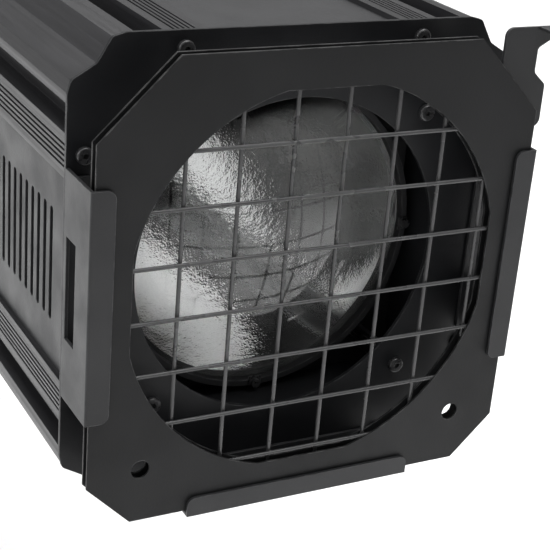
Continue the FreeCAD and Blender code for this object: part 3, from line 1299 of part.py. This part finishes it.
def pan_bolt():
    start = YOKE_BASE_TOP + RUNNING + 2.5
    corners = []
    for step in range(6):
        angle = math.radians(60 * step)
        corners.append((PAN_HEAD_R * math.cos(angle), PAN_HEAD_R * math.sin(angle), 0))
    head = prism_z(corners, start, start + PAN_HEAD_T)
    return head.fuse(rod_z(PAN_BOLT_R, 0, 0, FLANGE_TOP - 18, start)).removeSplitter()


# ---- writing ----------------------------------------------------------------
def rail_copies():
    rail = corner_rail()
    right = rail.cut(intake())
    left = rail.cut(flip_diagonal(intake()))
    return {"corner_rail_top_right": rail, "corner_rail_top_left": quarter_turned(rail, 1),
            "corner_rail_bottom_left": quarter_turned(left, 2),
            "corner_rail_bottom_right": quarter_turned(right, 3)}


HOUSING_PIECES = [
    front_plate, rear_plate, side_panel_left, side_panel_right, top_panel, bottom_panel, plate_screws,
    side_screws, frame_holder_left, frame_holder_right, frame_holder_bottom, latch_stud, frame_latch,
    colour_frame_front, colour_frame_back, wire_guard, front_lens, front_lens_cell, lens_clips,
    focus_carriage, focus_knob, rear_lens, zoom_carriage, zoom_knob, guide_rods,
    gate_plate, iris_body, iris_leaves, iris_ring, blackout_blade, reflector_plate, reflector,
    lamp_glass, lamp_base, lamp_socket, lamp_bracket, lamp_door, door_hinge, door_catch, fan_frame,
    fan_rotor, fan_guard, power_inlet, switch_frame, switch_rocker, rear_handle, handle_grip,
    safety_bracket, pivot_plates, friction_washers, tilt_knob_left, tilt_knob_right]
BASE_PIECES = [yoke, stand_spigot, pan_washers, pan_bolt]


def write(name, shape):
    shape.exportStep(os.path.join("parts", name + ".step"))
    print("%-26s solids %2d valid %s volume %.0f" % (name, len(shape.Solids), shape.isValid(), shape.Volume))


def main():
    os.makedirs("parts", exist_ok=True)
    lifted = rail_copies()
    for piece in HOUSING_PIECES:
        lifted[piece.__name__] = piece()
    for name, shape in lifted.items():
        shape.translate(V(0, 0, AXIS_HEIGHT))
        write(name, shape)
    for piece in BASE_PIECES:
        write(piece.__name__, piece())


main()
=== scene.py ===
import json
import math

import bmesh
import bpy
from mathutils import Euler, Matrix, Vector, noise


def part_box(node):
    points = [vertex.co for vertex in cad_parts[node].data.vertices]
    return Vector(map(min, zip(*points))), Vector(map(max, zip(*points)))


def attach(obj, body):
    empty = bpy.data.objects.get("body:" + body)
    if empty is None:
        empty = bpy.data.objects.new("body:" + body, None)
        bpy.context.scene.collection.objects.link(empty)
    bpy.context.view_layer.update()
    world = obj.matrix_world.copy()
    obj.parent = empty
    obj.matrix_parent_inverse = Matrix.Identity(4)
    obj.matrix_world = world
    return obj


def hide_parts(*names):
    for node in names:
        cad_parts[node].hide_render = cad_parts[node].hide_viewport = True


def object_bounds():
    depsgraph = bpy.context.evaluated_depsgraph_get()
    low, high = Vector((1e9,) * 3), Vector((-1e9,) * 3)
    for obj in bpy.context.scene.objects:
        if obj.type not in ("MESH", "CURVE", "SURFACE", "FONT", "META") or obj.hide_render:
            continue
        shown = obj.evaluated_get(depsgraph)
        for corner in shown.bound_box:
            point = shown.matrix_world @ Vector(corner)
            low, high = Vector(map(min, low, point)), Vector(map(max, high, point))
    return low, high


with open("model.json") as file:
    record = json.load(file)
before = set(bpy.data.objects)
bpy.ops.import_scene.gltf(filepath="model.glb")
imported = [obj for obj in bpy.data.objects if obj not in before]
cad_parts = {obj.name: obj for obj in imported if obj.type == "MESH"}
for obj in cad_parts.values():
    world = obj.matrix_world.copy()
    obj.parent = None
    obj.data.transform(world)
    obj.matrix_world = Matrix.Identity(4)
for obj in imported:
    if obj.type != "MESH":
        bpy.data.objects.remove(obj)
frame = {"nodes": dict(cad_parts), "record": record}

cad_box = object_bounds()
MM = 0.001


# ---- places taken from the frame ---------------------------------------------
def centre(node):
    low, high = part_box(node)
    return (low + high) / 2


colour_frame_low, colour_frame_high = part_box("colour_frame_front")
guard_low, guard_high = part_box("wire_guard")
AXIS_X = (colour_frame_low.x + colour_frame_high.x) / 2
AXIS_Z = (colour_frame_low.z + colour_frame_high.z) / 2
GUARD_Y = (guard_low.y + guard_high.y) / 2

# ---- camera -------------------------------------------------------------------
CAMERA_FROM_GUARD = Vector((-304.6, -514.2, 256.8)) * MM
CAMERA_TURN = (66.68, -4.48, -26.96)
CAMERA_LENS = 94.7


def make_camera():
    data = bpy.data.cameras.new("camera")
    data.lens = CAMERA_LENS
    data.sensor_width = 36.0
    data.clip_start = 0.02
    data.clip_end = 50.0
    camera = bpy.data.objects.new("camera", data)
    camera.location = Vector((AXIS_X, GUARD_Y, AXIS_Z)) + CAMERA_FROM_GUARD
    camera.rotation_euler = Euler([math.radians(a) for a in CAMERA_TURN], "XYZ")
    bpy.context.scene.collection.objects.link(camera)
    bpy.context.scene.camera = camera


# ---- materials ----------------------------------------------------------------
MIX_A = 6                     # Mix node's colour sockets
MIX_B = 7
MIX_RESULT = 2
EDGE_ROUND = 0.5 * MM         # edges of sheet and paint catch light over this radius
FINE_ROUND = 0.4 * MM         # edges of turned, drawn and moulded pieces
EDGE_WEAR_AND_HIGHLIGHT_REACH = 0.6 * MM         # edges are coloured lighter this far in: partly worn paint, partly painted highlight of edges catching light


class Surface:
    """A procedural material on one Principled shader, textured in the object's own metres."""

    def __init__(self, name, metallic=0.0, specular=0.5):
        self.material = bpy.data.materials.new(name)
        self.material.use_nodes = True
        tree = self.material.node_tree
        self.nodes = tree.nodes
        self.links = tree.links
        self.shader = self.nodes["Principled BSDF"]
        self.shader.inputs["Metallic"].default_value = metallic
        self.shader.inputs["Specular IOR Level"].default_value = specular
        self.place = self.nodes.new("ShaderNodeTexCoord").outputs["Object"]

    def stretched(self, stretch):
        """The coordinates scaled along each axis, for grain that runs one way."""
        mapping = self.nodes.new("ShaderNodeMapping")
        mapping.inputs["Scale"].default_value = stretch
        self.links.new(self.place, mapping.inputs["Vector"])
        return mapping.outputs["Vector"]

    def noise(self, scale, detail=3.0, stretch=None):
        """Noise with so many grains to the metre."""
        node = self.nodes.new("ShaderNodeTexNoise")
        node.inputs["Scale"].default_value = scale
        node.inputs["Detail"].default_value = detail
        place = self.stretched(stretch) if stretch else self.place
        self.links.new(place, node.inputs["Vector"])
        return node.outputs["Fac"]

    def cells(self, scale):
        """Distance to the nearest of many scattered points, for pebbles and leather-like grain."""
        node = self.nodes.new("ShaderNodeTexVoronoi")
        node.feature = "SMOOTH_F1"
        node.inputs["Scale"].default_value = scale
        self.links.new(self.place, node.inputs["Vector"])
        return node.outputs["Distance"]

    def spread(self, value, low, high, start=0.35, end=0.65):
        """The value's middle band spread between low and high."""
        node = self.nodes.new("ShaderNodeMapRange")
        self.links.new(value, node.inputs["Value"])
        limits = {"From Min": start, "From Max": end, "To Min": low, "To Max": high}
        for socket, number in limits.items():
            node.inputs[socket].default_value = number
        return node.outputs["Result"]

    def tint(self, value, dark, light):
        """Colours mixed by a value from 0 to 1."""
        node = self.nodes.new("ShaderNodeMix")
        node.data_type = "RGBA"
        self.links.new(value, node.inputs[0])
        for socket, colour in ((MIX_A, dark), (MIX_B, light)):
            if isinstance(colour, tuple):
                node.inputs[socket].default_value = (*colour, 1)
            else:
                self.links.new(colour, node.inputs[socket])
        return node.outputs[MIX_RESULT]

    def rounded(self, radius):
        """The surface's normal as if its edges had that radius."""
        bevel = self.nodes.new("ShaderNodeBevel")
        bevel.inputs["Radius"].default_value = radius
        return bevel.outputs["Normal"]

    def edges(self, radius, start, end):
        """1 on edges and 0 on flat faces: how far the rounded normal leans from the true one."""
        true = self.nodes.new("ShaderNodeNewGeometry")
        dot = self.nodes.new("ShaderNodeVectorMath")
        dot.operation = "DOT_PRODUCT"
        self.links.new(self.rounded(radius), dot.inputs[0])
        self.links.new(true.outputs["Normal"], dot.inputs[1])
        return self.spread(dot.outputs["Value"], 1.0, 0.0, start, end)

    def relief(self, value, height, radius=0.0):
        """Bump of that height in metres, over edges rounded to the radius."""
        bump = self.nodes.new("ShaderNodeBump")
        bump.inputs["Strength"].default_value = 1.0
        bump.inputs["Distance"].default_value = height
        self.links.new(value, bump.inputs["Height"])
        if radius:
            self.links.new(self.rounded(radius), bump.inputs["Normal"])
        self.links.new(bump.outputs["Normal"], self.shader.inputs["Normal"])

    def colour(self, value, dark, light):
        """Base colour running from dark to light with a value from 0 to 1."""
        self.links.new(self.tint(value, dark, light), self.shader.inputs["Base Color"])

    def roughness(self, socket):
        self.links.new(socket, self.shader.inputs["Roughness"])


def shade(colour, factor):
    return tuple(c * factor for c in colour)


def grey(level):
    return (level, level, level)


def coated(name, colour, rough, wear_and_highlight_colour, grain=1100, height=0.06 * MM, specular=0.5):
    """Painted sheet: cloudy tone, orange-peel relief, and lighter edges, partly worn paint and
    partly a painted highlight of edges catching light.
    """
    surface = Surface(name, specular=specular)
    cloud = surface.spread(surface.noise(14, 4), 0.0, 1.0, 0.3, 0.7)
    tone = surface.tint(cloud, shade(colour, 0.8), shade(colour, 1.25))
    patchy = surface.spread(surface.noise(160, 5), 0.0, 1.0, 0.42, 0.6)
    # Lighter colour on the edges, broken up by patches: partly worn paint, partly painted
    # highlight of edges catching light.
    wear_and_highlight = surface.nodes.new("ShaderNodeMath")
    wear_and_highlight.operation = "MULTIPLY"
    surface.links.new(surface.edges(EDGE_WEAR_AND_HIGHLIGHT_REACH, 0.93, 0.995), wear_and_highlight.inputs[0])
    surface.links.new(patchy, wear_and_highlight.inputs[1])
    surface.colour(wear_and_highlight.outputs[0], tone, wear_and_highlight_colour)
    surface.roughness(surface.spread(surface.noise(45, 4), rough - 0.05, rough + 0.07))
    surface.relief(surface.noise(grain, 3), height, EDGE_ROUND)
    return surface.material


def drawn(name, colour, rough, stretch, metallic, specular=0.5):
    """Drawn, turned or brushed metal: fine lines along one direction."""
    surface = Surface(name, metallic, specular)
    lines = surface.noise(500, 4, stretch)
    surface.colour(surface.spread(lines, 0.0, 1.0), shade(colour, 0.78), shade(colour, 1.2))
    surface.roughness(surface.spread(lines, rough - 0.06, rough + 0.08))
    surface.relief(lines, 0.02 * MM, FINE_ROUND)
    return surface.material


def moulded(name, colour, rough, grain, height):
    """Moulded plastic, rubber or glaze: even colour, a fine grained skin."""
    surface = Surface(name)
    cloud = surface.spread(surface.noise(60, 3), 0.0, 1.0)
    surface.colour(cloud, shade(colour, 0.85), shade(colour, 1.15))
    surface.roughness(surface.spread(surface.noise(220, 3), rough - 0.05, rough + 0.06))
    surface.relief(surface.cells(grain), height, FINE_ROUND)
    return surface.material


def glass(name, tone, grain=None, height=0.0):
    """Clear glass, with a finely pebbled face where a grain is given."""
    surface = Surface(name)
    surface.shader.inputs["Transmission Weight"].default_value = 1.0
    surface.shader.inputs["IOR"].default_value = 1.5
    surface.shader.inputs["Roughness"].default_value = 0.0
    surface.colour(surface.spread(surface.noise(30, 2), 0.0, 1.0), shade(tone, 0.985), tone)
    if grain:
        surface.relief(surface.noise(grain, 2), height)
    return surface.material


ALONG_BEAM = (1.0, 0.02, 1.0)
UPRIGHT = (1.0, 1.0, 0.02)
NO_GRAIN = (1.0, 1.0, 1.0)

MATERIALS = {
    "powder_black": coated("powder_black", (0.018, 0.0183, 0.0195), 0.42, (0.07, 0.07, 0.072),
                           specular=0.25),
    "frame_black": coated("frame_black", (0.010, 0.0102, 0.0107), 0.46, grey(0.10), specular=0.16),
    "inner_black": coated("inner_black", (0.018, 0.018, 0.019), 0.55, grey(0.08), specular=0.25),
    "anodised_black": drawn("anodised_black", (0.0125, 0.0125, 0.0138), 0.38, ALONG_BEAM, 0.0,
                            specular=0.32),
    "black_wire": coated("black_wire", (0.030, 0.030, 0.031), 0.28, grey(0.06), 900, 0.03 * MM),
    "black_screw": drawn("black_screw", (0.020, 0.020, 0.021), 0.30, NO_GRAIN, 0.0),
    "bright_steel": drawn("bright_steel", (0.62, 0.62, 0.63), 0.26, ALONG_BEAM, 1.0),
    "iris_steel": drawn("iris_steel", (0.24, 0.24, 0.26), 0.34, UPRIGHT, 1.0),
    "reflector_bright": drawn("reflector_bright", (0.86, 0.87, 0.88), 0.12, NO_GRAIN, 1.0),
    "guard_wire": drawn("guard_wire", (0.66, 0.66, 0.67), 0.20, UPRIGHT, 1.0),
    "handle_tube": coated("handle_tube", (0.030, 0.030, 0.032), 0.36, grey(0.10)),
    "ceramic": moulded("ceramic", (0.78, 0.75, 0.68), 0.25, 900, 0.02 * MM),
    "black_plastic": moulded("black_plastic", (0.024, 0.024, 0.026), 0.45, 2200, 0.04 * MM),
    "grip_rubber": moulded("grip_rubber", grey(0.020), 0.62, 1500, 0.06 * MM),
    "friction_fibre": moulded("friction_fibre", (0.22, 0.15, 0.10), 0.75, 1300, 0.08 * MM),
    "lamp_glass": glass("lamp_glass", grey(0.97)),
    "lens_glass": glass("lens_glass", (0.97, 0.985, 0.98)),
}
PEBBLED_GLASS = glass("lens_glass_pebbled", (0.92, 0.935, 0.93), 1000, 0.04 * MM)


def fibre(name):
    """Pale air-filter fleece that lets soft light through."""
    surface = Surface(name, specular=0.1)
    surface.shader.inputs["Transmission Weight"].default_value = 0.8
    surface.shader.inputs["IOR"].default_value = 1.1
    surface.colour(surface.spread(surface.noise(350, 5), 0.0, 1.0), grey(0.5), grey(0.95))
    surface.roughness(surface.spread(surface.noise(300, 3), 0.85, 1.0))
    surface.relief(surface.noise(900, 4), 0.1 * MM)
    return surface.material


FILTER_FIBRE = fibre("filter_fibre")
# Front plate: a darker, less shiny copy of the housing's black, painted shade for the shadow the
# colour frame casts on it.
PLATE_PAINTED_SHADE_BLACK = coated("front_plate_painted_shade_black", (0.0095, 0.0098, 0.0108), 0.40, (0.08, 0.08, 0.082),
                     specular=0.16)
PAINTED_SHADE_FINISH = {"front_plate": PLATE_PAINTED_SHADE_BLACK}


def dress_cad_nodes():
    """Each CAD node gets its slot's material; the front plate instead gets a darker black that
    paints in the shade falling on it.
    """
    slots = {part["node"]: part["material_slot"] for part in frame["record"]["subparts"]}
    for node, thing in frame["nodes"].items():
        thing.data.materials.clear()
        thing.data.materials.append(PAINTED_SHADE_FINISH.get(node, MATERIALS[slots[node]]))


# ---- pieces made here -----------------------------------------------------------
def link(piece, body):
    bpy.context.scene.collection.objects.link(piece)
    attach(piece, body)


def ring(form, radius, y, middle, segments):
    """Vertices of a circle about the line along Y, or its one point where the radius is 0."""
    if radius == 0:
        return [form.verts.new((middle.x, y, middle.z))]
    turn = 2 * math.pi / segments
    return [form.verts.new((middle.x + radius * math.cos(turn * k), y,
                            middle.z + radius * math.sin(turn * k)))
            for k in range(segments)]


def revolved(name, profile, middle, segments):
    """A closed solid from a profile of (radius, y) points turned about the line along Y."""
    mesh = bpy.data.meshes.new(name)
    form = bmesh.new()
    closed = profile[0][0] > 0
    rings = [ring(form, radius, y, middle, segments) for radius, y in profile]
    if closed:
        rings.append(rings[0])
    for inner, outer in zip(rings, rings[1:]):
        join_rings(form, inner, outer, segments)
    bmesh.ops.recalc_face_normals(form, faces=form.faces)
    form.to_mesh(mesh)
    form.free()
    mesh.shade_smooth()
    mesh.set_sharp_from_angle(angle=math.radians(35))
    return bpy.data.objects.new(name, mesh)


def join_rings(form, inner, outer, segments):
    """Faces between two rings, triangles where one of them is a single point."""
    for k in range(segments):
        after = (k + 1) % segments
        places = ((inner, k), (inner, after), (outer, after), (outer, k))
        corners = [verts[i % len(verts)] for verts, i in places]
        form.faces.new(list(dict.fromkeys(corners)))


FRONT_LENS_CURVE_R = 150 * MM
LENS_RINGS = 90
LENS_SEGMENTS = 300
PEBBLE_GRAINS = 420           # to the metre
PEBBLE_DEPTH = 0.05 * MM
PEBBLE_MARGIN = 0.5 * MM      # plain glass left at the rim
ON_PLANE = 0.001 * MM         # a vertex this near the rear plane lies in it


def make_front_lens():
    """Plano-convex lens: a smooth front, a rim and a pebbled rear face."""
    low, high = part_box("front_lens")
    middle = centre("front_lens")
    edge_r = (high.x - low.x) / 2
    radii = [edge_r * k / LENS_RINGS for k in range(LENS_RINGS + 1)]
    front = []
    for r in radii:
        sag = FRONT_LENS_CURVE_R - math.sqrt(FRONT_LENS_CURVE_R ** 2 - r ** 2)
        front.append((r, low.y + sag))
    rear = [(r, high.y) for r in reversed(radii)]
    lens = revolved("front_lens_glass", front + rear, middle, LENS_SEGMENTS)
    mesh = lens.data
    mesh.materials.append(MATERIALS["lens_glass"])
    mesh.materials.append(PEBBLED_GLASS)
    for face in mesh.polygons:
        if all(abs(mesh.vertices[v].co.y - high.y) < ON_PLANE for v in face.vertices):
            face.material_index = 1
    pebble(mesh, middle, high.y, edge_r - PEBBLE_MARGIN)
    link(lens, "focus_carriage")
    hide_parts("front_lens")


def pebble(mesh, middle, rear_y, reach):
    """Rolls shallow hollows into the flat rear face, as far out as the reach."""
    for vertex in mesh.vertices:
        place = vertex.co
        off_axis = math.hypot(place.x - middle.x, place.z - middle.z)
        if rear_y - place.y > ON_PLANE or off_axis > reach:
            continue
        grain = 0.5 + 0.5 * noise.noise(place * PEBBLE_GRAINS)
        vertex.co.y = rear_y - PEBBLE_DEPTH * (1 - grain)


HANDLE_R = 7 * MM
GRIP_RIBS = 26
GRIP_RIB_HEIGHT = 0.9 * MM
GRIP_RIB_STEPS = 6            # points along each rib
GRIP_BEAD = 5 * MM            # plain length at each end
GRIP_CHAMFER = 1 * MM
GRIP_PLAY = 0.05 * MM
GRIP_SEGMENTS = 64


def grip_profile(radius, start, end):
    """The sleeve's (radius, place) points: ribs outside, a plain bore inside."""
    first_rib = start + GRIP_BEAD
    span = end - start - 2 * GRIP_BEAD
    outer = [(radius - GRIP_CHAMFER, start), (radius, start + GRIP_CHAMFER), (radius, first_rib)]
    steps = GRIP_RIBS * GRIP_RIB_STEPS
    for k in range(steps + 1):
        share = k / steps
        dip = GRIP_RIB_HEIGHT * (0.5 - 0.5 * math.cos(2 * math.pi * GRIP_RIBS * share)) ** 2
        outer.append((radius - dip, first_rib + span * share))
    outer += [(radius, end - GRIP_CHAMFER), (radius - GRIP_CHAMFER, end)]
    bore = HANDLE_R + GRIP_PLAY
    return [(bore, start)] + outer + [(bore, end)]


def make_grip():
    """Rubber sleeve on the handle's bar, turned about Y and then laid along X."""
    low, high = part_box("handle_grip")
    middle = centre("handle_grip")
    profile = grip_profile((high.z - low.z) / 2, low.x, high.x)
    grip = revolved("handle_grip_sleeve", profile, Vector((0, 0, 0)), GRIP_SEGMENTS)
    for vertex in grip.data.vertices:
        side, along, up = vertex.co
        vertex.co = (along, middle.y + side, middle.z - up)
    grip.data.materials.append(MATERIALS["grip_rubber"])
    link(grip, "housing")
    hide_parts("handle_grip")


# Air intake in each bottom rail: distances from the optical axis, and lengths behind the
# rails' front end.
RAIL_INSIDE = 96.8 * MM
LINER_T = 0.8 * MM
LINER_TOP = 82.5 * MM
LINER_BEND = 88.9 * MM
LINER_LAP = 0.5 * MM
PAD_PLAY = 0.1 * MM
FILTER_TOP = 67.5 * MM
FILTER_EDGE = 62.5 * MM
INTAKE_Y = (181 * MM, 263 * MM)
SIDE_FILTER_Y = (194.5 * MM, 263 * MM)


def prism(name, outline, y0, y1, side):
    """A strip along Y with that outline of (x, z) from the axis, mirrored for the left side."""
    mesh = bpy.data.meshes.new(name)
    form = bmesh.new()
    ends = [[form.verts.new((AXIS_X + side * x, y, AXIS_Z + z)) for x, z in outline]
            for y in (y0, y1)]
    count = len(outline)
    for k in range(count):
        after = (k + 1) % count
        form.faces.new((ends[0][k], ends[0][after], ends[1][after], ends[1][k]))
    form.faces.new(ends[0])
    form.faces.new(ends[1])
    bmesh.ops.recalc_face_normals(form, faces=form.faces)
    form.to_mesh(mesh)
    form.free()
    return bpy.data.objects.new(name, mesh)


def make_intake(side, suffix):
    """Folded steel liner and two fibre filter pads behind the intake's openings."""
    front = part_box("corner_rail_bottom_right")[0].y
    out = RAIL_INSIDE
    inside = RAIL_INSIDE - LINER_T
    y0, y1 = (front + y for y in INTAKE_Y)
    side_y0, side_y1 = (front + y for y in SIDE_FILTER_Y)
    lap = LINER_BEND - LINER_LAP
    pad_end = lap - PAD_PLAY
    pad_low = LINER_TOP - PAD_PLAY
    liner = prism("intake_liner_" + suffix, [
        (out, -LINER_TOP), (out, -LINER_BEND), (LINER_BEND, -out), (lap, -out),
        (lap, -inside), (inside, -lap), (inside, -LINER_TOP)], y0, y1, side)
    liner.data.materials.append(MATERIALS["inner_black"])
    link(liner, "housing")
    pads = [
        prism("intake_filter_low_" + suffix, [
            (FILTER_EDGE, -out), (pad_end, -out), (pad_end, -inside), (FILTER_EDGE, -inside)],
            y0, y1, side),
        prism("intake_filter_side_" + suffix, [
            (out, -FILTER_TOP), (out, -pad_low), (inside, -pad_low), (inside, -FILTER_TOP)],
            side_y0, side_y1, side)]
    for pad in pads:
        pad.data.materials.append(FILTER_FIBRE)
        link(pad, "housing")


# ---- studio -------------------------------------------------------------------
def place_light(name, data, place, target):
    lamp = bpy.data.objects.new(name, data)
    lamp.location = place
    lamp.rotation_euler = (Vector(target) - Vector(place)).to_track_quat("-Z", "Y").to_euler()
    bpy.context.scene.collection.objects.link(lamp)


def area_light(name, place, target, size, power):
    """A square softbox."""
    data = bpy.data.lights.new(name, "AREA")
    data.shape = "SQUARE"
    data.size = size
    data.energy = power
    place_light(name, data, place, target)


def spot_light(name, place, target, spread, power):
    """A soft-edged pool of light."""
    data = bpy.data.lights.new(name, "SPOT")
    data.spot_size = math.radians(spread)
    data.spot_blend = 1.0
    data.shadow_soft_size = 0.35
    data.energy = power
    place_light(name, data, place, target)


FLOOR_BELOW = 125 * MM        # under the spigot's tip, as the tilted front swings below it
FLOOR_REACH = 9.0


def make_floor():
    surface = Surface("studio_floor", specular=0.2)
    surface.colour(surface.spread(surface.noise(3, 2), 0.0, 1.0), grey(0.86), grey(0.9))
    surface.roughness(surface.spread(surface.noise(8, 3), 0.6, 0.75))
    mesh = bpy.data.meshes.new("studio_floor")
    level = cad_box[0][2] - FLOOR_BELOW
    signs = ((-1, -1), (1, -1), (1, 1), (-1, 1))
    corners = [(FLOOR_REACH * x, FLOOR_REACH * y, level) for x, y in signs]
    mesh.from_pydata(corners, [], [(0, 1, 2, 3)])
    mesh.materials.append(surface.material)
    floor = bpy.data.objects.new("studio_floor", mesh)
    bpy.context.scene.collection.objects.link(floor)


def make_studio():
    world = bpy.data.worlds.new("studio")
    world.use_nodes = True
    background = world.node_tree.nodes["Background"]
    background.inputs["Color"].default_value = (1, 1, 1, 1)
    background.inputs["Strength"].default_value = 0.35
    bpy.context.scene.world = world
    bpy.context.scene.view_settings.view_transform = "Standard"
    make_floor()
    area_light("overhead", (0.3, 0.6, 3.2), (0.2, 0.4, 0), 4.4, 250)
    spot_light("front_floor", (0.75, -1.7, 2.6), (0.55, -1.5, 0), 62, 260)
    area_light("left_key", (-2.4, -0.3, 1.3), (0, -0.3, 0.25), 1.6, 45)


make_camera()
make_studio()
dress_cad_nodes()
make_front_lens()
make_grip()
make_intake(1, "right")
make_intake(-1, "left")
